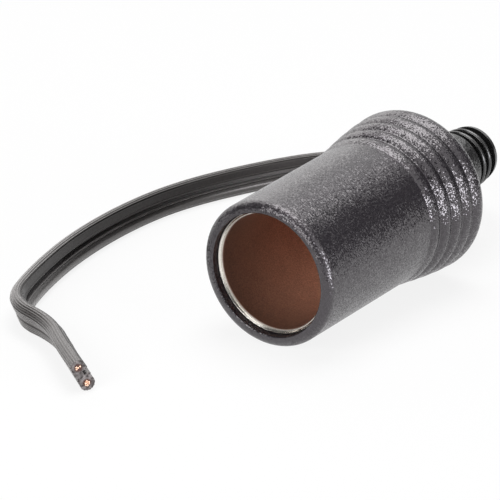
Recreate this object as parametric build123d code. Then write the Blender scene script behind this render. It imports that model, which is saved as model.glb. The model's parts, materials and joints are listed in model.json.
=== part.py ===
"""In-line 12 V accessory socket on a short flat twin lead, lying on its side.

The socket is drawn along its own axis, +Y from the mouth (Y = 0) to the rear, and is then laid down
on its rim and its largest rib. Millimetres, +Z up, floor at Z = 0.
"""
import os
from math import asin, atan2, cos, degrees, hypot, radians, sin, tan

from build123d import *

# Contact sleeve
bore_diameter = 21.2
sleeve_wall = 0.6
sleeve_length = 34.8
sleeve_recess = 1.5
lip_bevel = 0.5
lip_bevel_depth = 0.65
lip_line_width = 0.16
lip_line_depth = 0.1
sleeve_corner = 0.7
bead_height = 0.35
bead_width = 2.4
bead_setback = 10.0
sleeve_fit = 0.05

# Barrel
spigot_length = 6.0
barrel_draft = 0.35
mouth_gap = 0.12
mouth_gap_depth = 3.0
mouth_chamfer = 0.15
rim_flat = 0.58
rim_round = 1.3
seat_thickness = 1.2
seat_width = 1.5
spigot_wall = 1.35
snap_height = 0.3
snap_width = 1.6
snap_setback = 2.2

# End cap
cap_flare = 1.95
rib_count = 5
rib_pitch = 3.0
rib_slope = 1.9
rib_first_rise = 0.45
rib_fullness = 0.72
rib_groove = 0.4
rib_groove_round = 0.45
rib_crest_round = 1.0
flare_power = 1.5
cap_rear_round = 2.4
cap_rear_wall = 2.0
cap_fit = 0.05

# Strain relief
neck_diameter = 9.2
neck_fit = 0.05
flange_diameter = 13.6
flange_thickness = 1.5
relief_root_diameter = 13.2
relief_diameter = 13.0
relief_tip_diameter = 10.9
relief_base_length = 13.15
ring_count = 3
ring_groove = 1.7
ring_width = 0.8
ring_core_diameter = 8.0
ring_crown = 0.25
tip_ring_width = 1.3
tip_round = 0.4

# Flat twin lead
conductor_diameter = 2.8
conductor_spacing = 3.2
web_thickness = 1.6
strand_diameter = 1.2
tail_diameter = 2.2
lead_fit = 0.05
lead_bend = 1.9
lead_clearance = 0.95
lead_bared = 3.9
cut_end_depth = 3.0
cut_end_proud = 0.15

# Base of the sleeve: insulator, washer, rivet and tags
base_thickness = 2.0
base_fit = 0.1
rivet_shank_diameter = 3.0
rivet_head_diameter = 7.2
rivet_head_height = 1.3
rivet_tail_diameter = 4.6
rivet_tail_height = 0.8
washer_diameter = 13.0
washer_thickness = 1.0
washer_shoulder_diameter = 9.0
washer_fit = 0.05
tag_thickness = 0.5
tag_width = 3.2
tag_ring_diameter = 6.8
tag_offset = 7.2
tag_foot = 2.2
tag_bend = 0.6
tag_end_gap = 0.7
eyelet_diameter = 1.6
solder_diameter = 3.0
solder_reach = 0.9

# Route of the free lead after its first run: across the axis, along it from the exit, and up from
# where the lead lies on the floor
route_first_run = 4.0
route = [
    (-1.7, 8.6, 13.3), (-5.9, 13.2, 10.1), (-13.2, 17.6, 5.2), (-22.6, 18.4, 1.2), (-32.9, 17.5, 0.0),
    (-42.0, 11.0, 0.0), (-48.9, -2.8, 0.0), (-54.7, -21.3, 0.0), (-55.4, -38.5, 0.0), (-52.7, -57.7, 0.0),
    (-46.9, -75.9, 0.0), (-41.3, -87.1, 0.0), (-29.7, -89.7, 0.0), (-21.0, -96.6, 0.0), (-13.7, -101.8, 0.0),
]
route_floor_gap = 0.05
arc_share = 0.45

# Radii that follow from the bore outwards
sleeve_radius = bore_diameter / 2 + sleeve_wall
mouth_radius = sleeve_radius + mouth_gap
barrel_bore = sleeve_radius + sleeve_fit
rim_radius = mouth_radius + mouth_chamfer + rim_flat + rim_round
barrel_rear_radius = rim_radius + barrel_draft
spigot_radius = barrel_bore + spigot_wall
cap_radius = barrel_rear_radius + cap_flare

# Stations along the axis, from the mouth
sleeve_end = sleeve_recess + sleeve_length
bead_station = sleeve_end - bead_setback
spigot_end = sleeve_end + seat_thickness
barrel_length = spigot_end - spigot_length
snap_station = spigot_end - snap_setback
last_crest = barrel_length + rib_slope + (rib_count - 1) * rib_pitch
cap_end = last_crest + cap_rear_round
chamber_end = cap_end - cap_rear_wall
flange_face = chamber_end - flange_thickness
rings_start = cap_end + relief_base_length
rings_length = ring_count * ring_groove + (ring_count - 1) * ring_width + tip_ring_width
exit_station = rings_start + rings_length
base_face = sleeve_end - sleeve_wall - base_thickness
washer_face = sleeve_end + washer_thickness
tag_face = washer_face + tag_thickness
tag_end = flange_face - tag_end_gap
wire_station = flange_face - lead_clearance - tail_diameter / 2
lead_end = tag_offset - lead_bared / 2


def turned(outline):
    """A solid turned about the socket's axis from a closed outline of (radius, station)."""
    return revolve(make_face(outline), axis=Axis.Y)


def rounded(section, corners, radius):
    """The section with its corners at the given points rounded."""
    return fillet([section.vertices().sort_by_distance(corner)[0] for corner in corners], radius)


def bump(radius, station, width, height):
    """A round bump in an outline, from the mouth side to the rear side of the station."""
    ends = ((radius, station - width / 2), (radius, station + width / 2))
    return ThreePointArc(ends[0], (radius + height, station), ends[1])


def twin_section(plane, growth=0.0):
    """The section of the lead: one conductor over the other, with a web between them."""
    lobe = Circle(conductor_diameter / 2 + growth)
    web = Rectangle(web_thickness + 2 * growth, conductor_spacing)
    return plane * (Pos(0, conductor_spacing / 2) * lobe + Pos(0, -conductor_spacing / 2) * lobe + web)


def axis_plane(station):
    """The plane across the socket's axis at a station, facing the rear, with its Y up."""
    return Plane((0, station, 0), x_dir=(-1, 0, 0), z_dir=(0, 1, 0))


def crest_radius(rib):
    """Radius at the crest of a rib: the ribs flare quickly at first and then level off."""
    rise_left = (1 - rib / (rib_count - 1)) ** flare_power
    return cap_radius - (cap_flare - rib_first_rise) * rise_left


# Barrel: drafted tube, rounded rim, snap spigot, and the seat for the sleeve inside
def make_barrel():
    opening = barrel_bore - seat_width
    edge = rim_radius - rim_round
    rim_mid = rim_round * (1 - sin(radians(45)))
    snap = bump(spigot_radius, snap_station, snap_width, snap_height)
    groove = bump(barrel_bore, bead_station, bead_width + 2 * sleeve_fit, bead_height + sleeve_fit)
    outline = Line((mouth_radius + mouth_chamfer, 0), (edge, 0))
    outline += ThreePointArc((edge, 0), (rim_radius - rim_mid, rim_mid), (rim_radius, rim_round))
    outline += Polyline((rim_radius, rim_round), (barrel_rear_radius, barrel_length),
                        (spigot_radius, barrel_length), snap @ 0)
    outline += snap
    outline += Polyline(snap @ 1, (spigot_radius, spigot_end), (opening, spigot_end),
                        (opening, sleeve_end), (barrel_bore, sleeve_end), groove @ 1)
    outline += groove
    outline += Polyline(groove @ 0, (barrel_bore, mouth_gap_depth), (mouth_radius, mouth_gap_depth),
                        (mouth_radius, mouth_chamfer), (mouth_radius + mouth_chamfer, 0))
    return turned(outline)


# End cap: flared collar with rounded steps, a snap groove inside and a rear wall
def make_end_cap():
    bore = spigot_radius + cap_fit
    neck = neck_diameter / 2 + neck_fit
    valley = (barrel_rear_radius, barrel_length)
    valleys = []
    crests = []
    outline = Curve()
    for rib in range(rib_count):
        crest = (crest_radius(rib), barrel_length + rib_slope + rib * rib_pitch)
        shoulder = (valley[0] + rib_fullness * (crest[0] - valley[0]), valley[1] + rib_slope / 2)
        outline += ThreePointArc(valley, shoulder, crest)
        if rib < rib_count - 1:
            valley = (crest[0] - rib_groove, crest[1] + rib_pitch - rib_slope)
            outline += Line(crest, valley)
            valleys.append(valley)
            crests.append(crest)
    edge = (crest[0] - cap_rear_round, cap_end)
    knuckle = cap_rear_round * sin(radians(45))
    outline += ThreePointArc(crest, (edge[0] + knuckle, crest[1] + knuckle), edge)
    groove = bump(bore, snap_station, snap_width + 2 * cap_fit, snap_height + cap_fit)
    outline += Polyline(edge, (neck, cap_end), (neck, chamber_end), (bore, chamber_end), groove @ 1)
    outline += groove
    outline += Polyline(groove @ 0, (bore, barrel_length), (barrel_rear_radius, barrel_length))
    section = rounded(make_face(outline), valleys, rib_groove_round)
    section = rounded(section, crests, rib_crest_round)
    return revolve(section, axis=Axis.Y)


def relief_radius(station):
    """Radius at the crown of the rings, which taper to the tip."""
    share = (station - rings_start) / rings_length
    return (relief_diameter + share * (relief_tip_diameter - relief_diameter)) / 2


# Strain relief: flange and neck in the cap's hole, tapered root, then deep rings round the lead
def make_strain_relief():
    neck = neck_diameter / 2
    flange = flange_diameter / 2
    core = ring_core_diameter / 2
    base = relief_diameter / 2
    tip = relief_tip_diameter / 2
    outline = Polyline((0, flange_face), (flange, flange_face), (flange, chamber_end), (neck, chamber_end),
                       (neck, cap_end), (relief_root_diameter / 2, cap_end), (base, rings_start),
                       (core, rings_start))
    station = rings_start
    for ring in range(ring_count - 1):
        front = station + ring_groove
        rear = front + ring_width
        crown = relief_radius((front + rear) / 2)
        side = crown - ring_crown
        outline += Polyline((core, station), (core, front), (side, front))
        outline += ThreePointArc((side, front), (crown, (front + rear) / 2), (side, rear))
        outline += Line((side, rear), (core, rear))
        station = rear
    front = station + ring_groove
    outline += Polyline((core, station), (core, front), (relief_radius(front), front),
                        (tip, exit_station - tip_round), (tip - tip_round, exit_station),
                        (0, exit_station), (0, flange_face))
    passage = extrude(twin_section(axis_plane(flange_face), lead_fit), exit_station - flange_face)
    return turned(outline) - passage


# Contact sleeve: drawn tube with a bevelled and scored lip, a rolled bead and an inturned bottom
def make_contact_sleeve():
    inner = bore_diameter / 2
    outer = sleeve_radius
    hole = washer_shoulder_diameter / 2 + washer_fit
    land = inner + lip_bevel
    lip = sleeve_recess + (outer - land) / 2
    floor = sleeve_end - sleeve_wall
    knuckle = 1 - sin(radians(45))
    outer_corner = sleeve_corner + sleeve_wall
    outer_bead = bump(outer, bead_station, bead_width, bead_height)
    inner_bead = bump(inner, bead_station, bead_width - sleeve_wall, bead_height)
    bevel = Line((inner, lip + lip_bevel_depth), (land, lip))
    half_line = lip_line_width / bevel.length / 2
    line_bottom = bevel @ 0.5 + Vector(lip_bevel_depth, lip_bevel).normalized() * lip_line_depth
    outline = Polyline(bevel @ 0, bevel @ (0.5 - half_line), line_bottom, bevel @ (0.5 + half_line),
                       bevel @ 1)
    outline += ThreePointArc((land, lip), ((land + outer) / 2, sleeve_recess), (outer, lip))
    outline += Line((outer, lip), outer_bead @ 0)
    outline += outer_bead
    outline += Line(outer_bead @ 1, (outer, sleeve_end - outer_corner))
    outline += ThreePointArc((outer, sleeve_end - outer_corner),
                             (outer - outer_corner * knuckle, sleeve_end - outer_corner * knuckle),
                             (outer - outer_corner, sleeve_end))
    outline += Polyline((outer - outer_corner, sleeve_end), (hole, sleeve_end), (hole, floor),
                        (inner - sleeve_corner, floor))
    outline += ThreePointArc((inner - sleeve_corner, floor),
                             (inner - sleeve_corner * knuckle, floor - sleeve_corner * knuckle),
                             (inner, floor - sleeve_corner))
    outline += Line((inner, floor - sleeve_corner), inner_bead @ 1)
    outline += inner_bead
    outline += Line(inner_bead @ 0, (inner, lip + lip_bevel_depth))
    return turned(outline)


# Base insulator: phenolic disc with its rear edge eased to clear the corner of the sleeve
def make_base_insulator():
    edge = bore_diameter / 2 - base_fit
    rear = sleeve_end - sleeve_wall
    hole = rivet_shank_diameter / 2
    return turned(Polyline((hole, base_face), (edge, base_face), (edge, rear - sleeve_corner),
                           (edge - sleeve_corner, rear), (hole, rear), close=True))


# Insulating washer: shouldered, so that it centres the rivet in the hole of the sleeve
def make_insulating_washer():
    hole = rivet_shank_diameter / 2
    shoulder = washer_shoulder_diameter / 2
    edge = washer_diameter / 2
    front = sleeve_end - sleeve_wall
    return turned(Polyline((hole, front), (shoulder, front), (shoulder, sleeve_end),
                           (edge, sleeve_end), (edge, washer_face), (hole, washer_face), close=True))


# Centre contact: rivet with a domed head in the socket and a peened tail behind the tag
def make_centre_contact():
    shank = rivet_shank_diameter / 2
    head = rivet_head_diameter / 2
    tail = rivet_tail_diameter / 2
    dome = Sphere((head**2 + rivet_head_height**2) / (2 * rivet_head_height))
    peen = Sphere((tail**2 + rivet_tail_height**2) / (2 * rivet_tail_height))
    front = Pos(0, base_face - rivet_head_height + dome.radius, 0) * dome
    rear = Pos(0, tag_face + rivet_tail_height - peen.radius, 0) * peen
    rivet = split(front, Plane.XZ.offset(-base_face), keep=Keep.TOP)
    rivet += split(rear, Plane.XZ.offset(-tag_face), keep=Keep.BOTTOM)
    return rivet + extrude(axis_plane(base_face) * Circle(shank), tag_face - base_face)


# Solder tags: a strip bent to run to the rear, with an eyelet for the wire near its end
def make_tag(foot_end, foot_face):
    """A bent tag on the upper side, its foot lying on foot_face from foot_end to the bend."""
    middle = foot_face + tag_thickness / 2
    tongue = tag_offset + tag_thickness / 2
    bend = FilletPolyline((foot_end, middle), (tongue, middle), (tongue, tag_end), radius=tag_bend)
    strip = extrude(Plane.ZY * trace(bend, tag_thickness), tag_width / 2, both=True)
    eyelet = Pos(0, wire_station, tongue) * Cylinder(eyelet_diameter / 2, 2 * tag_thickness)
    return strip - eyelet


def make_positive_tag():
    ring = extrude(axis_plane(washer_face) * Circle(tag_ring_diameter / 2), tag_thickness)
    hole = extrude(axis_plane(washer_face) * Circle(rivet_shank_diameter / 2), tag_thickness)
    return make_tag(0, washer_face) + ring - hole


def make_negative_tag():
    return mirror(make_tag(tag_offset + tag_foot, sleeve_end), Plane.XY)


# Lead inside the socket: twin through the strain relief, then two trimmed tails turned out to the tags
def make_split_leads():
    twin = extrude(twin_section(axis_plane(flange_face)), exit_station - flange_face)
    height = conductor_spacing / 2
    turn = wire_station + lead_bend
    path = Line((0, flange_face, height), (0, turn, height))
    path += RadiusArc((0, turn, height), (0, wire_station, height + lead_bend), lead_bend)
    path += Line((0, wire_station, height + lead_bend), (0, wire_station, lead_end))
    start = Plane((0, flange_face, height), z_dir=(0, -1, 0))
    tail = sweep(start * Circle(tail_diameter / 2), path=path)
    return twin + tail + mirror(tail, Plane.XY)


def make_wire():
    """Bared strands of the upper tail, through the eyelet."""
    seat = Plane((0, wire_station, lead_end))
    return seat * Cylinder(strand_diameter / 2, lead_bared, align=(Align.CENTER, Align.CENTER, Align.MIN))


def make_solder():
    """Solder on both faces of the upper tag, joined through the eyelet round the strands."""
    wire = strand_diameter / 2
    wet = solder_diameter / 2
    inside = tag_offset
    outside = tag_offset + tag_thickness
    eyelet = eyelet_diameter / 2
    outline = Polyline((wire, inside - solder_reach), (wet, inside), (eyelet, inside), (eyelet, outside),
                       (wet, outside), (wire, outside + solder_reach), close=True)
    joint = revolve(Plane.XZ * make_face(outline), axis=Axis.Z)
    return Pos(0, wire_station, 0) * joint


# Free lead: straight out of the strain relief, round and down to the floor, standing on its edge
def route_points(exit_point, axis):
    lay = (conductor_diameter + conductor_spacing) / 2 + route_floor_gap
    lying = [Vector(across, exit_point.Y + along, lay + rise) for across, along, rise in route]
    return [exit_point, exit_point + axis * route_first_run] + lying


def route_radii(points):
    """Each arc is as large as the shorter of its two runs allows."""
    radii = []
    for before, corner, after in zip(points, points[1:], points[2:]):
        runs = (corner - before, after - corner)
        half_turn = radians(runs[0].get_angle(runs[1])) / 2
        radii.append(arc_share * min(runs[0].length, runs[1].length) / tan(half_turn))
    return radii


def untwisted_roll(points, axis):
    """Roll of the socket about its axis that lets the lead stand on its edge without a twist."""
    up = Vector(0, 0, 1)
    runs = [after - before for before, after in zip(points, points[1:])]
    for behind, ahead in zip(runs[-2::-1], runs[:0:-1]):
        up = up.rotate(Axis((0, 0, 0), ahead.cross(behind)), ahead.get_angle(behind))
    side = Vector(1, 0, 0)
    return degrees(atan2(up.dot(side), up.dot(side.cross(axis))))


# Rest: the floor touches the rim's round and the crest of the last rib
round_centre = (rim_round, rim_radius - rim_round)
crest_offset = (last_crest - round_centre[0], cap_radius - round_centre[1])
rest_tilt = atan2(crest_offset[1], crest_offset[0]) - asin(rim_round / hypot(*crest_offset))
mouth_height = rim_round + round_centre[1] * cos(rest_tilt) - round_centre[0] * sin(rest_tilt)
front_reach = round_centre[1] * sin(rest_tilt)
rear_reach = exit_station * cos(rest_tilt) + (relief_tip_diameter / 2 - tip_round) * sin(rest_tilt)
mouth_along = (front_reach - rear_reach) / 2
axis = Vector(0, cos(rest_tilt), sin(rest_tilt))
exit_point = Vector(0, mouth_along, mouth_height) + axis * exit_station
points = route_points(exit_point, axis)
bends = route_radii(points)
roll = untwisted_roll(points, axis)
rest = Location((0, mouth_along, mouth_height), (degrees(rest_tilt), 0, 0)) * Rot(0, roll, 0)

pieces = {
    "barrel": make_barrel(),
    "end_cap": make_end_cap(),
    "strain_relief": make_strain_relief(),
    "contact_sleeve": make_contact_sleeve(),
    "base_insulator": make_base_insulator(),
    "insulating_washer": make_insulating_washer(),
    "centre_contact": make_centre_contact(),
    "positive_tag": make_positive_tag(),
    "negative_tag": make_negative_tag(),
    "split_leads": make_split_leads(),
    "positive_strands": make_wire(),
    "negative_strands": mirror(make_wire(), Plane.XY),
    "positive_solder": make_solder(),
    "negative_solder": mirror(make_solder(), Plane.XY),
}
placed = {name: rest * piece for name, piece in pieces.items()}

# Free lead and the strands in its cut end
path = FilletPolyline(*points, radius=bends)
cord = sweep(twin_section(Plane(rest * axis_plane(exit_station).location)), path=path)
heading = (points[-1] - points[-2]).normalized()
for name, side in (("positive_cut_end", 1), ("negative_cut_end", -1)):
    centre = points[-1] + Vector(0, 0, side * conductor_spacing / 2) - heading * cut_end_depth
    core = Plane(centre, z_dir=heading) * Circle(strand_diameter / 2)
    cord -= extrude(core, cut_end_depth)
    placed[name] = extrude(core, cut_end_depth + cut_end_proud)
placed["cord"] = cord

os.makedirs("parts", exist_ok=True)
for name, piece in placed.items():
    export_step(piece, f"parts/{name}.step")

section_area = twin_section(Plane.XY).area
core_volume = 2 * core.area * cut_end_depth
print("rest tilt", round(degrees(rest_tilt), 3), "roll", round(roll, 2),
      "mouth", round(mouth_along, 3), round(mouth_height, 3))
print("route points", [tuple(round(value, 2) for value in point) for point in points])
print("route radii", [round(radius, 1) for radius in bends])
print("cord length", round(path.length, 2), "volume", round(cord.volume + core_volume, 1),
      "section times length", round(section_area * path.length, 1))
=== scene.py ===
"""Looks of the in-line 12 V power socket and its flat twin lead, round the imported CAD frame, in metres."""
import json
from math import acos, asin, cos, pi, radians, sin, sqrt

import bpy
from mathutils import Matrix, Vector
from mathutils.kdtree import KDTree


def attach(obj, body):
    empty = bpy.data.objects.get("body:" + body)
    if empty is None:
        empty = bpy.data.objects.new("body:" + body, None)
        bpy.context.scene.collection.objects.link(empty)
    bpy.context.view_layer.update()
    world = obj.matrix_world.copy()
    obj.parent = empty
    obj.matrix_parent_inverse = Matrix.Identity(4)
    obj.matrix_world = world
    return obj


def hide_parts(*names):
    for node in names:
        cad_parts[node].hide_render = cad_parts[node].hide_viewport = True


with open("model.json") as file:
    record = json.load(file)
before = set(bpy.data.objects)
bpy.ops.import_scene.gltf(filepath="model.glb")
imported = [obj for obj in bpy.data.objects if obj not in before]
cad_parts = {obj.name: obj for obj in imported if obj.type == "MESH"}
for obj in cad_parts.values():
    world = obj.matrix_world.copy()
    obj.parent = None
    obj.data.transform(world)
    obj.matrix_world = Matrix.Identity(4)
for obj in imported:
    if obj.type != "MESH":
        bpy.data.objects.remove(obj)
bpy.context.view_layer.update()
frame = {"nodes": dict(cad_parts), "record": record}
nodes = frame["nodes"]
bore = next(mount for mount in frame["record"]["mounts"] if mount["name"] == "plug_bore")
bore_middle = Vector(bore["pos_m"])
bore_out = Vector(bore["axis"])
lip_reach = bore["dims"]["length_mm"] / 2000
straight_up = Vector((0, 0, 1))

# Rim of the barrel: how far its face stands out past the plain wall of the bore, the radii between which it
# rounds over, and the depth of the rounding
rim_stand = 0.0022
rim_reach = lip_reach + rim_stand
rim_inner = 0.01147
rim_outer = 0.01335
rim_depth = 0.0014

# Strain relief: the stretch that its rings take up in front of its tip, a margin that keeps the change of
# grain off the edge of a ring, and how far grains tip the surface on its rings and on its plain root
relief_rings = 0.008
ring_margin = 0.00005
ring_tip = 0.05
root_tip = 0.42

# View of the photograph
view_azimuth = radians(35.9)
view_elevation = radians(20.8)
view_distance = 0.4103
view_target = (-0.00278, -0.03493, 0.01759)
view_lens = 172.8
view_clip = 0.01

# Route of the free lead from the strain relief to the cut end, and how far its upper conductor leans
# over to the outside of the sweep there, in degrees
lead_route = [
    (0.0, 0.03461, 0.01685), (0.0, 0.03861, 0.01680), (-0.0020, 0.04250, 0.01555),
    (-0.0064, 0.04680, 0.01235), (-0.0132, 0.05180, 0.00790), (-0.02256, 0.05302, 0.00420),
    (-0.03293, 0.05208, 0.00305), (-0.04195, 0.04561, 0.00304), (-0.04886, 0.03183, 0.00304),
    (-0.05468, 0.01333, 0.00305), (-0.05539, -0.00393, 0.00304), (-0.0527, -0.02312, 0.00302),
    (-0.04692, -0.04133, 0.00302), (-0.04129, -0.05253, 0.00295), (-0.02973, -0.05504, 0.00287),
    (-0.02102, -0.06199, 0.00285), (-0.01366, -0.06715, 0.00289),
]
lead_lean = [-32, -32, -27, -20, -12, -5, 3, 5, 5, 1, 6, 11, 12, 21, 27, 29, 26]
lead_order = 3
lead_steps = 10
lead_crease = radians(50)
merge_gap = 0.000001

# Section of the lead: the round of each conductor, the flats, the groove inside with its rise above the
# middle, the waist and the fine ribs outside, and the steps in which flats and rounds are drawn
conductor_radius = 0.0014
conductor_offset = 0.0016
outer_flat = 0.00127
inner_flat = 0.0012
groove_floor = 0.0003
groove_half = 0.00045
groove_rise = 0.0003
groove_lip = 0.0002
waist_depth = 0.00026
waist_half = 0.0007
rib_height = 0.00009
rib_pitch = 0.0005
rib_turn = radians(22)
flat_step = 0.0000625
section_step = radians(2.75)

# Lip on each edge of the groove, in lip heights: how far its points stand out from the flat and lie up
# from the edge, how far up its foot lies, and how far the groove narrows down to its floor
lip_points = [(0.6, 1.6), (1.0, 1.1), (0.8, 0.5), (0.0, 0.0)]
lip_foot = 2.0
groove_taper = 0.3

# Smooth inner side of the lead, which gets a darker, less glossy copy of the insulation as painted shade:
# how far in from the path it starts, and the share of the heading in a face's normal past which the face
# belongs to a cut end
shaded_inner_from = 0.00095
end_share = 0.7

# Copper strands in the cut end: the size of one strand, the rounding of its tip as a share of its radius,
# the margin within which an edge counts as part of the tip, and for each conductor how far its bundle
# stands out of the cut and which strands of the ring are in it
strand_radius = 0.00018
strand_pitch = 0.00039
strand_depth = 0.003
strand_sides = 10
strand_round = 0.6
strand_round_steps = 3
strand_crease = radians(40)
tip_margin = 1e-7
upper_proud = 0.0002
lower_proud = 0.0006
upper_ring = (0, 2, 3)
lower_ring = (0, 1, 2, 3, 4, 5)

# Ring of strands round the middle one: its turn and splay, the least share of the height that a strand
# stands out, and the rank of each strand of the ring in height
ring_turn = 0.2
ring_splay = 0.10
least_share = 0.35
ring_ranks = (3, 1, 6, 4, 2, 0)

# Moulded grain: slow patches per metre, how much they change the roughness, and the tones of grains
patch_scale = 90.0
patch_roughness = 0.12
grain_tones = (0.55, 1.45)

# Cut face of the lead: blotches per metre and the part of the noise that they spread over, the brown
# stain round each conductor with the stretch over which it fades, and the depth that counts as face
blotch_scale = 1500.0
blotch_range = (0.35, 0.65)
blotch_dark = (0.014, 0.01, 0.01, 1.0)
blotch_pale = (0.2, 0.183, 0.183, 1.0)
stain_brown = (0.055, 0.016, 0.012, 1.0)
stain_reach = 0.00085
stain_fade = 0.0003
face_depth = 0.00003

# Drawn metal: fine lines per metre, drawn out along the socket, with their depth and roughness, and a
# slow tarnish per metre with its tones
line_scale = 2600.0
line_detail = 3.0
line_stretch = (1.0, 0.08, 1.0)
line_depth = 0.000004
line_roughness = 0.12
tarnish_scale = 220.0
tarnish_detail = 4.0
tarnish_tones = (0.82, 1.18)

# Contact sleeve: brown flash, with painted light that makes it lighter deep inside and darker towards the
# lip, its speckle per metre, and the bright lip with the places past the plain wall where it starts and is
# full
flash_brown = (0.262, 0.122, 0.078)
flash_roughness = 0.5
painted_depth_tones = (2.25, 0.45)
speckle_scale = 4200.0
speckle_range = (0.3, 0.7)
speckle_tones = (0.7, 1.3)
lip_metal = (0.83, 0.80, 0.74, 1.0)
lip_roughness = 0.22
lip_start = 0.00005
lip_full = 0.0003

# Mouldings and lead: colour of the housing, grains per metre, and the sheen of each finish
housing_black = (0.019, 0.0165, 0.0195)
housing_grains = 5600.0
lead_grains = 4000.0
housing_sheen = {"Specular IOR Level": 0.88, "Specular Tint": (1.0, 0.95, 0.98, 1.0)}
relief_sheen = {"Specular IOR Level": 0.9}
chalky_sheen = {
    "Sheen Weight": 1.0, "Sheen Roughness": 0.3, "Sheen Tint": (1.0, 0.97, 0.96, 1.0),
    "Specular IOR Level": 0.7, "Specular Tint": (1.0, 0.95, 0.93, 1.0),
}
# Sheen of the darker copy of the insulation that paints shade on the lead's inner side
shaded_inner_sheen = {"Specular IOR Level": 0.3, "Specular Tint": (1.0, 0.92, 0.9, 1.0)}

# Room: the floor with the share of plain white that the camera sees of it, the light that the white room
# itself gives, and the dark cards
floor_size = 8.0
floor_grey = (0.88, 0.88, 0.88, 1.0)
floor_white = 0.85
room_light = 0.12
white = (1.0, 1.0, 1.0)
card_black = (0.02, 0.02, 0.02, 1.0)
card_distance = 0.95


def deselect():
    bpy.ops.object.select_all(action="DESELECT")


def select_only(pieces):
    """Select these pieces and no other, with the first one active."""
    deselect()
    for piece in pieces:
        piece.select_set(True)
    bpy.context.view_layer.objects.active = pieces[0]


def apply_place():
    """Put the place, turn and scale of the selected piece into its mesh."""
    bpy.ops.object.transform_apply(location=True, rotation=True, scale=True)


def link(piece):
    bpy.context.collection.objects.link(piece)
    return piece


# The free lead: a swept section that stands on its edge and leans over towards its cut end
def rib_drop(phase):
    """How far the surface falls back between two ribs."""
    return rib_height * (1 - abs(cos(pi * phase)))


def mirrored(outline):
    """The same outline for the lower conductor, run through the other way."""
    return [(across, -up) for across, up in reversed(outline)]


def lead_section():
    """Closed outline of the section: x to the outside of the sweep, y up.

    The outside is ribbed and waisted between the conductors. The inside has a groove with a lip on each
    edge, and is flat above it and round below it.
    """
    corner = sqrt(conductor_radius ** 2 - outer_flat ** 2)
    outside = []
    up = flat_step / 2
    while up < conductor_offset + corner:
        waist = waist_depth * cos(pi / 2 * min(up / waist_half, 1.0)) ** 2
        outside.append((outer_flat - waist - rib_drop(up / rib_pitch), up))
        up += flat_step
    over = []
    turn = asin(corner / conductor_radius)
    while conductor_radius * cos(turn) > -inner_flat:
        radius = conductor_radius - rib_drop(turn / rib_turn)
        over.append((radius * cos(turn), conductor_offset + radius * sin(turn)))
        turn += section_step
    lip = [(-inner_flat - out * groove_lip, groove_half + rise * groove_lip) for out, rise in lip_points]
    lip.append((-groove_floor, groove_half - groove_taper * groove_lip))
    foot = groove_half + lip_foot * groove_lip
    flat = [(-inner_flat, conductor_offset), (-inner_flat, foot + groove_rise)]
    groove = [(across, up + groove_rise) for across, up in lip + mirrored(lip)]
    belly = []
    turn = pi - asin((conductor_offset - foot + groove_rise) / conductor_radius)
    while turn < pi + acos(inner_flat / conductor_radius):
        belly.append((conductor_radius * cos(turn), conductor_radius * sin(turn) - conductor_offset))
        turn += section_step
    return outside + over + flat + groove + belly + mirrored(over) + mirrored(outside)


def lead_curve():
    curve = bpy.data.curves.new("lead_route", "CURVE")
    curve.dimensions = "3D"
    curve.twist_mode = "Z_UP"
    spline = curve.splines.new("NURBS")
    spline.points.add(len(lead_route) - 1)
    for point, place, lean in zip(spline.points, lead_route, lead_lean):
        point.co = (*place, 1.0)
        point.tilt = radians(lean)
    spline.order_u = lead_order
    spline.use_endpoint_u = True
    spline.resolution_u = lead_steps
    return link(bpy.data.objects.new("lead_route", curve))


def section_curve():
    curve = bpy.data.curves.new("lead_section", "CURVE")
    spline = curve.splines.new("POLY")
    outline = lead_section()
    spline.points.add(len(outline) - 1)
    for point, (across, up) in zip(spline.points, outline):
        point.co = (across, up, 0.0, 1.0)
    spline.use_cyclic_u = True
    return link(bpy.data.objects.new("lead_section", curve))


def make_lead():
    """The lead as a mesh, and the points of the path that it was swept along."""
    lead = lead_curve()
    line = bpy.data.meshes.new_from_object(lead)
    path = [vertex.co.copy() for vertex in line.vertices]
    section = section_curve()
    lead.data.bevel_mode = "OBJECT"
    lead.data.bevel_object = section
    lead.data.use_fill_caps = True
    select_only([lead])
    bpy.ops.object.convert(target="MESH")
    bpy.data.objects.remove(section)
    lead.name = "lead"
    bpy.ops.object.mode_set(mode="EDIT")
    bpy.ops.mesh.select_all(action="SELECT")
    bpy.ops.mesh.remove_doubles(threshold=merge_gap)
    bpy.ops.mesh.normals_make_consistent(inside=False)
    bpy.ops.object.mode_set(mode="OBJECT")
    bpy.ops.object.shade_smooth_by_angle(angle=lead_crease)
    return lead, path


def section_directions(heading, lean):
    """Where the section points at a heading and a lean in degrees: to the outside of the sweep, and up."""
    level = heading.cross(straight_up).normalized()
    upward = straight_up * cos(radians(lean)) + level * sin(radians(lean))
    return heading.cross(upward), upward


def lean_at(share):
    """Lean of the lead in degrees, at a share of its way."""
    place = share * (len(lead_lean) - 1)
    before = min(int(place), len(lead_lean) - 2)
    return lead_lean[before] + (place - before) * (lead_lean[before + 1] - lead_lean[before])


def shaded_inner_faces(lead, path):
    """The faces on the inner side of the sweep, from its upper edge to the bottom of the groove, that get
    painted shade.
    """
    finder = KDTree(len(path))
    for index, point in enumerate(path):
        finder.insert(point, index)
    finder.balance()
    last = len(path) - 1
    found = []
    for face in lead.data.polygons:
        nearest, index = finder.find(face.center)[:2]
        ahead = min(index + 1, last)
        heading = (path[ahead] - path[ahead - 1]).normalized()
        if abs(face.normal.dot(heading)) > end_share:
            continue
        outward, upward = section_directions(heading, lean_at(index / last))
        offset = face.center - nearest
        if offset.dot(outward) < -shaded_inner_from and offset.dot(upward) > groove_rise - groove_half:
            found.append(face)
    return found


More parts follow.
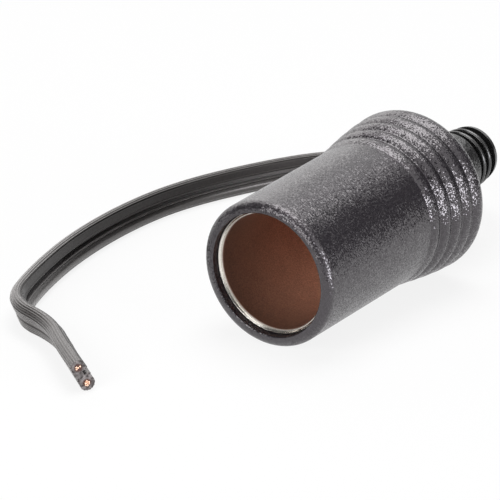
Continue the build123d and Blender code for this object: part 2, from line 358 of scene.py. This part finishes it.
# The copper in the cut end: one strand is modelled and copied into a round bundle
def make_strand():
    deselect()
    bpy.ops.mesh.primitive_cylinder_add(vertices=strand_sides, radius=strand_radius, depth=strand_depth,
                                        location=(0, 0, -strand_depth / 2))
    strand = bpy.context.object
    apply_place()
    bpy.ops.object.mode_set(mode="EDIT")
    bpy.ops.mesh.select_all(action="DESELECT")
    bpy.ops.object.mode_set(mode="OBJECT")
    for edge in strand.data.edges:
        edge.select = all(abs(strand.data.vertices[index].co.z) < tip_margin for index in edge.vertices)
    bpy.ops.object.mode_set(mode="EDIT")
    bpy.ops.mesh.select_mode(type="EDGE")
    bpy.ops.mesh.bevel(offset=strand_radius * strand_round, segments=strand_round_steps, affect="EDGES")
    bpy.ops.object.mode_set(mode="OBJECT")
    bpy.ops.object.shade_smooth_by_angle(angle=strand_crease)
    return strand


def make_bundle(name, strand, seat, proud, ring_strands):
    """A round bundle of strands whose cut ends differ a little in height, standing on the seat.

    Strands that are cut short, below the face, are left out of the ring.
    """
    # Ring, turn and rank of each strand, the middle one first
    spots = [(0, 0.0, 0)]
    for index in ring_strands:
        spots.append((1, 2 * pi * index / len(ring_ranks) + ring_turn, ring_ranks[index]))
    copies = []
    for ring, turn, rank in spots:
        height = proud * (least_share + (1 - least_share) * rank / max(ring_ranks))
        copy = link(strand.copy())
        copy.data = strand.data.copy()
        place = Vector((ring * strand_pitch * cos(turn), ring * strand_pitch * sin(turn), height))
        splay = Matrix.Rotation(ring_splay * ring, 4, Vector((-sin(turn), cos(turn), 0)))
        copy.matrix_world = seat @ Matrix.Translation(place) @ splay
        copies.append(copy)
    select_only(copies)
    bpy.ops.object.join()
    bundle = bpy.context.object
    bundle.name = name
    apply_place()
    return bundle


def cut_end_seats(path):
    """Where the two conductors end: upper and lower, facing out of the cut."""
    heading = (path[-1] - path[-2]).normalized()
    outward, upward = section_directions(heading, lead_lean[-1])
    turned = Matrix((-outward, upward, heading)).transposed().to_4x4()
    seats = []
    for side in (1, -1):
        centre = path[-1] + upward * side * conductor_offset
        seats.append(Matrix.Translation(centre) @ turned)
    return seats


# Nodes that the finishes are put together from
def feed(tree, sockets, given):
    """Give input sockets their plain values, or link them to the outputs that feed them."""
    for name, value in given.items():
        if isinstance(value, bpy.types.NodeSocket):
            tree.links.new(value, sockets[name])
        else:
            sockets[name].default_value = value


def node(tree, kind, given=None, **settings):
    """Add a node with its settings, and feed its input sockets, by name or number."""
    made = tree.nodes.new(kind)
    for setting, value in settings.items():
        setattr(made, setting, value)
    feed(tree, made.inputs, given or {})
    return made


def number(tree, operation, *terms, **settings):
    """A number worked out from others."""
    return node(tree, "ShaderNodeMath", dict(enumerate(terms)), operation=operation, **settings).outputs[0]


def vector(tree, operation, *terms):
    """A vector worked out from others."""
    return node(tree, "ShaderNodeVectorMath", dict(enumerate(terms)), operation=operation).outputs["Vector"]


def measure(tree, operation, *terms):
    """A number worked out from vectors, such as a distance."""
    return node(tree, "ShaderNodeVectorMath", dict(enumerate(terms)), operation=operation).outputs["Value"]


def scaled(tree, term, scale):
    """A vector or a colour times a number."""
    given = {0: term, "Scale": scale}
    return node(tree, "ShaderNodeVectorMath", given, operation="SCALE").outputs["Vector"]


def mapped(tree, value, start=(0.0, 1.0), end=(0.0, 1.0)):
    """A number, held to one range and mapped to another."""
    given = {"Value": value, "From Min": start[0], "From Max": start[1], "To Min": end[0], "To Max": end[1]}
    return node(tree, "ShaderNodeMapRange", given).outputs["Result"]


def mixed(tree, kind, share, first, second):
    """From the first value to the second, by a share."""
    given = {"Factor": share, "A": first, "B": second}
    return node(tree, "ShaderNodeMix", given, data_type=kind).outputs["Result"]


def noise(tree, position, scale, detail=2.0):
    """Soft noise from 0 to 1, by its scale per metre."""
    given = {"Vector": position, "Scale": scale, "Detail": detail}
    return node(tree, "ShaderNodeTexNoise", given).outputs["Fac"]


def reach_along(tree, position, origin, axis):
    """How far a place reaches along an axis from an origin."""
    return measure(tree, "DOT_PRODUCT", vector(tree, "SUBTRACT", position, origin), axis)


def seen_share(tree):
    """1 for rays from the camera, a sheen or a clear piece, and 0 for those that only light a surface."""
    rays = node(tree, "ShaderNodeLightPath").outputs
    seen = number(tree, "MAXIMUM", rays["Is Camera Ray"], rays["Is Glossy Ray"])
    return number(tree, "MAXIMUM", seen, rays["Is Transmission Ray"])


def new_group(name, takes, gives):
    """A node group with named inputs and outputs: the sockets that it is given, and those of its result."""
    group = bpy.data.node_groups.new(name, "ShaderNodeTree")
    for in_out, sockets in (("INPUT", takes), ("OUTPUT", gives)):
        for socket, kind in sockets.items():
            group.interface.new_socket(socket, in_out=in_out, socket_type="NodeSocket" + kind)
    return group, node(group, "NodeGroupInput").outputs, node(group, "NodeGroupOutput").inputs


def new_finish(name):
    """A material, its node tree and the input sockets of its shader."""
    material = bpy.data.materials.new(name)
    material.use_nodes = True
    return material, material.node_tree, material.node_tree.nodes["Principled BSDF"].inputs


# Finishes
def moulded_grain_group():
    """Spark-eroded grain of a moulding: small facets that tip the surface and differ a little in tone."""
    takes = {"Position": "Vector", "Normal": "Vector", "Grains": "Float", "Tip": "Float",
             "Colour": "Color", "Roughness": "Float"}
    gives = {"Colour": "Color", "Roughness": "Float", "Normal": "Vector"}
    group, given, result = new_group("moulded_grain", takes, gives)
    cells = {"Vector": given["Position"], "Scale": given["Grains"]}
    facets = node(group, "ShaderNodeTexVoronoi", cells, feature="F1").outputs["Color"]
    tipped = scaled(group, vector(group, "SUBTRACT", facets, (0.5, 0.5, 0.5)), given["Tip"])
    leaning = vector(group, "ADD", given["Normal"], tipped)
    patches = noise(group, given["Position"], patch_scale)
    shifted = number(group, "MULTIPLY_ADD", patches, patch_roughness, given["Roughness"])
    chance = node(group, "ShaderNodeSeparateColor", {"Color": facets}).outputs["Green"]
    feed(group, result, {
        "Colour": scaled(group, given["Colour"], mapped(group, chance, end=grain_tones)),
        "Roughness": number(group, "SUBTRACT", shifted, patch_roughness / 2),
        "Normal": vector(group, "NORMALIZE", leaning),
    })
    return group


def rounded_rim_group():
    """Surface direction of the barrel's rim, rounded over evenly from the mouth to the outside."""
    takes = {"Position": "Vector", "Normal": "Vector"}
    group, given, result = new_group("rounded_rim", takes, {"Normal": "Vector"})
    offset = vector(group, "SUBTRACT", given["Position"], bore_middle)
    reach = measure(group, "DOT_PRODUCT", offset, bore_out)
    outward = vector(group, "SUBTRACT", offset, scaled(group, bore_out, reach))
    radius = measure(group, "LENGTH", outward)
    share = mapped(group, radius, start=(rim_inner, rim_outer))
    squared = number(group, "MULTIPLY", share, share)
    forward = number(group, "SQRT", number(group, "SUBTRACT", 1.0, squared, use_clamp=True))
    across = scaled(group, vector(group, "NORMALIZE", outward), share)
    rounded = vector(group, "ADD", across, scaled(group, bore_out, forward))
    near_face = number(group, "GREATER_THAN", reach, rim_reach - rim_depth)
    outside_mouth = number(group, "GREATER_THAN", radius, rim_inner)
    on_rim = number(group, "MULTIPLY", near_face, outside_mouth)
    feed(group, result, {"Normal": mixed(group, "VECTOR", on_rim, given["Normal"], rounded)})
    return group


def grained_finish(name, group, colour, roughness, grains, tip, sheen=None):
    """A moulded finish: colour, roughness, grains per metre, how far they tip the surface, and sheen."""
    material, tree, shader = new_finish(name)
    given = {
        "Position": node(tree, "ShaderNodeTexCoord", name="place").outputs["Object"],
        "Normal": node(tree, "ShaderNodeNewGeometry", name="surface").outputs["Normal"],
        "Grains": grains,
        "Tip": tip,
        "Colour": (*colour, 1.0),
        "Roughness": roughness,
    }
    grain = node(tree, "ShaderNodeGroup", given, node_tree=group, name="grain")
    feed(tree, shader, {
        "Base Color": grain.outputs["Colour"],
        "Roughness": grain.outputs["Roughness"],
        "Normal": grain.outputs["Normal"],
    })
    feed(tree, shader, sheen or {})
    return material


def round_rim(material):
    """Put the rounding of the rim under the grain of the housing."""
    tree = material.node_tree
    given = {
        "Position": tree.nodes["place"].outputs["Object"],
        "Normal": tree.nodes["surface"].outputs["Normal"],
    }
    rim = node(tree, "ShaderNodeGroup", given, node_tree=rounded_rim_group())
    feed(tree, tree.nodes["grain"].inputs, {"Normal": rim.outputs["Normal"]})


def grain_root(material, relief):
    """Give the plain root of the strain relief, ahead of its rings, a stronger grain than the rings."""
    tree = material.node_tree
    tip_reach = min((vertex.co - bore_middle).dot(bore_out) for vertex in relief.data.vertices)
    reach = reach_along(tree, tree.nodes["place"].outputs["Object"], bore_middle, bore_out)
    on_root = number(tree, "GREATER_THAN", reach, tip_reach + relief_rings - ring_margin)
    feed(tree, tree.nodes["grain"].inputs, {"Tip": mapped(tree, on_root, end=(ring_tip, root_tip))})


def mark_cut(material, seats):
    """Give the insulation its mottled cut face, stained brown round each conductor."""
    tree = material.node_tree
    position = tree.nodes["place"].outputs["Object"]
    upper, lower = (seat.translation for seat in seats)
    heading = seats[0].col[2].to_3d()
    from_upper = measure(tree, "DISTANCE", position, upper)
    from_lower = measure(tree, "DISTANCE", position, lower)
    nearest = number(tree, "MINIMUM", from_upper, from_lower)
    stain = mapped(tree, nearest, start=(stain_reach, stain_reach - stain_fade))
    blotches = mapped(tree, noise(tree, position, blotch_scale), start=blotch_range)
    mottled = mixed(tree, "RGBA", blotches, blotch_dark, blotch_pale)
    face = mixed(tree, "RGBA", stain, mottled, stain_brown)
    beyond = reach_along(tree, position, upper, heading)
    cut = number(tree, "GREATER_THAN", beyond, -face_depth)
    colour = mixed(tree, "RGBA", cut, tree.nodes["grain"].outputs["Colour"], face)
    feed(tree, tree.nodes["Principled BSDF"].inputs, {"Base Color": colour})


def drawn_metal_group():
    """Fine drawing lines and a slow tarnish of a drawn or rolled metal."""
    takes = {"Position": "Vector", "Colour": "Color", "Roughness": "Float"}
    gives = {"Colour": "Color", "Roughness": "Float", "Height": "Float"}
    group, given, result = new_group("drawn_metal", takes, gives)
    stretch = node(group, "ShaderNodeMapping", {"Vector": given["Position"], "Scale": line_stretch})
    lines = noise(group, stretch.outputs["Vector"], line_scale, line_detail)
    tarnish = noise(group, given["Position"], tarnish_scale, tarnish_detail)
    feed(group, result, {
        "Colour": scaled(group, given["Colour"], mapped(group, tarnish, end=tarnish_tones)),
        "Roughness": number(group, "MULTIPLY_ADD", lines, line_roughness, given["Roughness"]),
        "Height": lines,
    })
    return group


def drawn_metal(tree, group, position, colour, roughness):
    """Colour, roughness and surface direction of a drawn metal."""
    given = {"Position": position, "Colour": (*colour, 1.0), "Roughness": roughness}
    drawn = node(tree, "ShaderNodeGroup", given, node_tree=group)
    bump = node(tree, "ShaderNodeBump", {"Distance": line_depth, "Height": drawn.outputs["Height"]})
    return drawn.outputs["Colour"], drawn.outputs["Roughness"], bump.outputs["Normal"]


def metal_finish(name, group, colour, roughness):
    material, tree, shader = new_finish(name)
    position = node(tree, "ShaderNodeTexCoord").outputs["Object"]
    tone, rough, normal = drawn_metal(tree, group, position, colour, roughness)
    feed(tree, shader, {"Base Color": tone, "Roughness": rough, "Metallic": 1.0, "Normal": normal})
    return material


def sleeve_finish(group):
    """The contact sleeve: dull brown flash on the wall, with painted light: lighter deep inside, darker
    towards the bright bevelled lip.
    """
    material, tree, shader = new_finish("flashed_sleeve")
    position = node(tree, "ShaderNodeTexCoord").outputs["Object"]
    flash, rough, normal = drawn_metal(tree, group, position, flash_brown, flash_roughness)
    reach = reach_along(tree, position, bore_middle, bore_out)
    bright = mapped(tree, reach, start=(lip_reach + lip_start, lip_reach + lip_full))
    # Painted light: the flash is made lighter deep in the bore and darker towards the lip
    painted_depth_light = mapped(tree, reach, start=(-lip_reach, lip_reach), end=painted_depth_tones)
    specks = mapped(tree, noise(tree, position, speckle_scale), start=speckle_range, end=speckle_tones)
    toned = scaled(tree, flash, number(tree, "MULTIPLY", painted_depth_light, specks))
    feed(tree, shader, {
        "Base Color": mixed(tree, "RGBA", bright, toned, lip_metal),
        "Roughness": mixed(tree, "FLOAT", bright, rough, lip_roughness),
        "Metallic": bright,
        "Normal": normal,
    })
    return material


def paint(piece, material):
    piece.data.materials.clear()
    piece.data.materials.append(material)


# Floor, light and camera
def make_floor():
    deselect()
    bpy.ops.mesh.primitive_plane_add(size=floor_size)
    floor = bpy.context.object
    floor.name = "floor"
    material, tree, shader = new_finish("pale_floor")
    feed(tree, shader, {"Base Color": floor_grey, "Roughness": 1.0, "Specular IOR Level": 0.0})
    plain = node(tree, "ShaderNodeEmission")
    mix = node(tree, "ShaderNodeMixShader", {
        "Fac": number(tree, "MULTIPLY", seen_share(tree), floor_white),
        1: tree.nodes["Principled BSDF"].outputs[0],
        2: plain.outputs[0],
    })
    feed(tree, tree.nodes["Material Output"].inputs, {"Surface": mix.outputs[0]})
    paint(floor, material)


def make_dark_card(name, bearing, width, height):
    """A dark card that stands off the socket, by compass bearing from +Y, and shows only in sheens."""
    deselect()
    turn = radians(bearing)
    bpy.ops.mesh.primitive_plane_add(size=1.0)
    card = bpy.context.object
    card.name = name
    card.scale = (width, height, 1.0)
    card.rotation_euler = (pi / 2, 0, -turn)
    card.location = (card_distance * sin(turn), card_distance * cos(turn), height / 2)
    apply_place()
    card.visible_camera = False
    card.visible_diffuse = False
    card.visible_shadow = False
    material, tree, shader = new_finish(name)
    feed(tree, shader, {"Base Color": card_black})
    paint(card, material)


def make_world():
    world = bpy.data.worlds.new("white_room")
    world.use_nodes = True
    bpy.context.scene.world = world
    tree = world.node_tree
    strength = mapped(tree, seen_share(tree), end=(room_light, 1.0))
    feed(tree, tree.nodes["Background"].inputs, {"Color": (*white, 1.0), "Strength": strength})


def add_softbox(name, bearing, climb, distance, width, height, watts, colour=white, in_sheen=True):
    """A soft lamp by compass bearing from +Y and angle above the floor, facing the socket."""
    turn, rise = radians(bearing), radians(climb)
    toward = Vector((sin(turn) * cos(rise), cos(turn) * cos(rise), sin(rise)))
    light = bpy.data.lights.new(name, "AREA")
    light.shape = "RECTANGLE"
    light.size = width
    light.size_y = height
    light.energy = watts
    light.color = colour
    lamp = link(bpy.data.objects.new(name, light))
    lamp.visible_camera = False
    lamp.visible_glossy = in_sheen
    lamp.location = toward * distance
    lamp.rotation_euler = toward.to_track_quat("Z", "Y").to_euler()


def make_camera():
    back = Vector((sin(view_azimuth) * cos(view_elevation),
                   -cos(view_azimuth) * cos(view_elevation), sin(view_elevation)))
    data = bpy.data.cameras.new("camera")
    data.lens = view_lens
    data.clip_start = view_clip
    camera = link(bpy.data.objects.new("camera", data))
    camera.location = Vector(view_target) + back * view_distance
    camera.rotation_euler = (-back).to_track_quat("-Z", "Y").to_euler()
    bpy.context.scene.camera = camera


# Lead and copper
lead, lead_path = make_lead()
strand = make_strand()
seats = cut_end_seats(lead_path)
upper_copper = make_bundle("upper_strands", strand, seats[0], upper_proud, upper_ring)
lower_copper = make_bundle("lower_strands", strand, seats[1], lower_proud, lower_ring)
bpy.data.objects.remove(strand)

# Moulded finishes
grain = moulded_grain_group()
housing = grained_finish("textured_housing", grain, housing_black, roughness=0.225,
                         grains=housing_grains, tip=0.4, sheen=housing_sheen)
round_rim(housing)
cap_housing = grained_finish("textured_cap", grain, housing_black, roughness=0.145,
                             grains=housing_grains, tip=0.42, sheen=housing_sheen)
relief = grained_finish("soft_relief", grain, (0.015, 0.0145, 0.0145), roughness=0.24,
                        grains=housing_grains, tip=ring_tip, sheen=relief_sheen)
grain_root(relief, nodes["strain_relief"])
insulation = grained_finish("lead_insulation", grain, (0.016, 0.0145, 0.014), roughness=0.32,
                            grains=lead_grains, tip=0.06)
cut_insulation = grained_finish("cut_lead_insulation", grain, (0.025, 0.0228, 0.022), roughness=0.29,
                                grains=lead_grains, tip=0.015, sheen=chalky_sheen)
mark_cut(cut_insulation, seats)
# Darker, less glossy copy of the insulation for the lead's inner side: painted shade
shaded_inner_insulation = grained_finish("shaded_inner_insulation", grain, (0.008, 0.0073, 0.007), roughness=0.29,
                                   grains=lead_grains, tip=0.03, sheen=shaded_inner_sheen)
phenolic = grained_finish("phenolic_board", grain, (0.075, 0.033, 0.02), roughness=0.5,
                          grains=1800.0, tip=0.1)
fibre = grained_finish("fibre_washer", grain, (0.25, 0.08, 0.06), roughness=0.7,
                       grains=2500.0, tip=0.15)

# Metal finishes
drawn = drawn_metal_group()
brass = metal_finish("rivet_brass", drawn, (0.72, 0.5, 0.2), roughness=0.25)
tinned = metal_finish("tinned_tags", drawn, (0.7, 0.69, 0.65), roughness=0.35)
copper = metal_finish("copper_strands", drawn, (0.96, 0.68, 0.52), roughness=0.26)
solder = metal_finish("tin_solder", drawn, (0.68, 0.68, 0.68), roughness=0.3)
sleeve = sleeve_finish(drawn)

# Finish of each CAD piece
finishes = {
    "barrel": housing, "end_cap": cap_housing, "strain_relief": relief, "contact_sleeve": sleeve,
    "base_insulator": phenolic, "insulating_washer": fibre, "centre_contact": brass,
    "positive_tag": tinned, "negative_tag": tinned, "split_leads": insulation,
    "positive_strands": copper, "negative_strands": copper,
    "positive_solder": solder, "negative_solder": solder,
}
for name, material in finishes.items():
    paint(nodes[name], material)

# Finish of the lead and the copper, and what they ride on and stand for
paint(lead, cut_insulation)
# The inner side of the lead gets the darker copy of the insulation as painted shade
lead.data.materials.append(shaded_inner_insulation)
for face in shaded_inner_faces(lead, lead_path):
    face.material_index = 1
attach(lead, "root")
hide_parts("cord")
for bundle, stands_for in ((upper_copper, "positive_cut_end"), (lower_copper, "negative_cut_end")):
    paint(bundle, copper)
    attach(bundle, "root")
    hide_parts(stands_for)

# Room, lamps and camera
make_floor()
make_dark_card("rear_card", bearing=33, width=1.0, height=0.95)
make_dark_card("right_front_card", bearing=142, width=0.75, height=1.5)
make_dark_card("left_front_card", bearing=235, width=1.2, height=2.0)
make_world()
add_softbox("top_softbox", bearing=-20, climb=78, distance=0.75, width=0.5, height=0.5, watts=4.1)
add_softbox("left_softbox", bearing=-60, climb=29, distance=1.0, width=0.8, height=0.6, watts=1.7,
            colour=(1.0, 0.975, 0.96))
add_softbox("right_softbox", bearing=88, climb=8, distance=0.8, width=0.42, height=0.22, watts=3.5,
            colour=(0.94, 0.95, 1.0))
add_softbox("front_softbox", bearing=182, climb=28, distance=0.85, width=0.62, height=0.36, watts=3.4)
add_softbox("mouth_softbox", bearing=178, climb=4, distance=1.0, width=0.3, height=0.3, watts=6.0,
            in_sheen=False)
make_camera()
bpy.context.scene.view_settings.view_transform = "Standard"
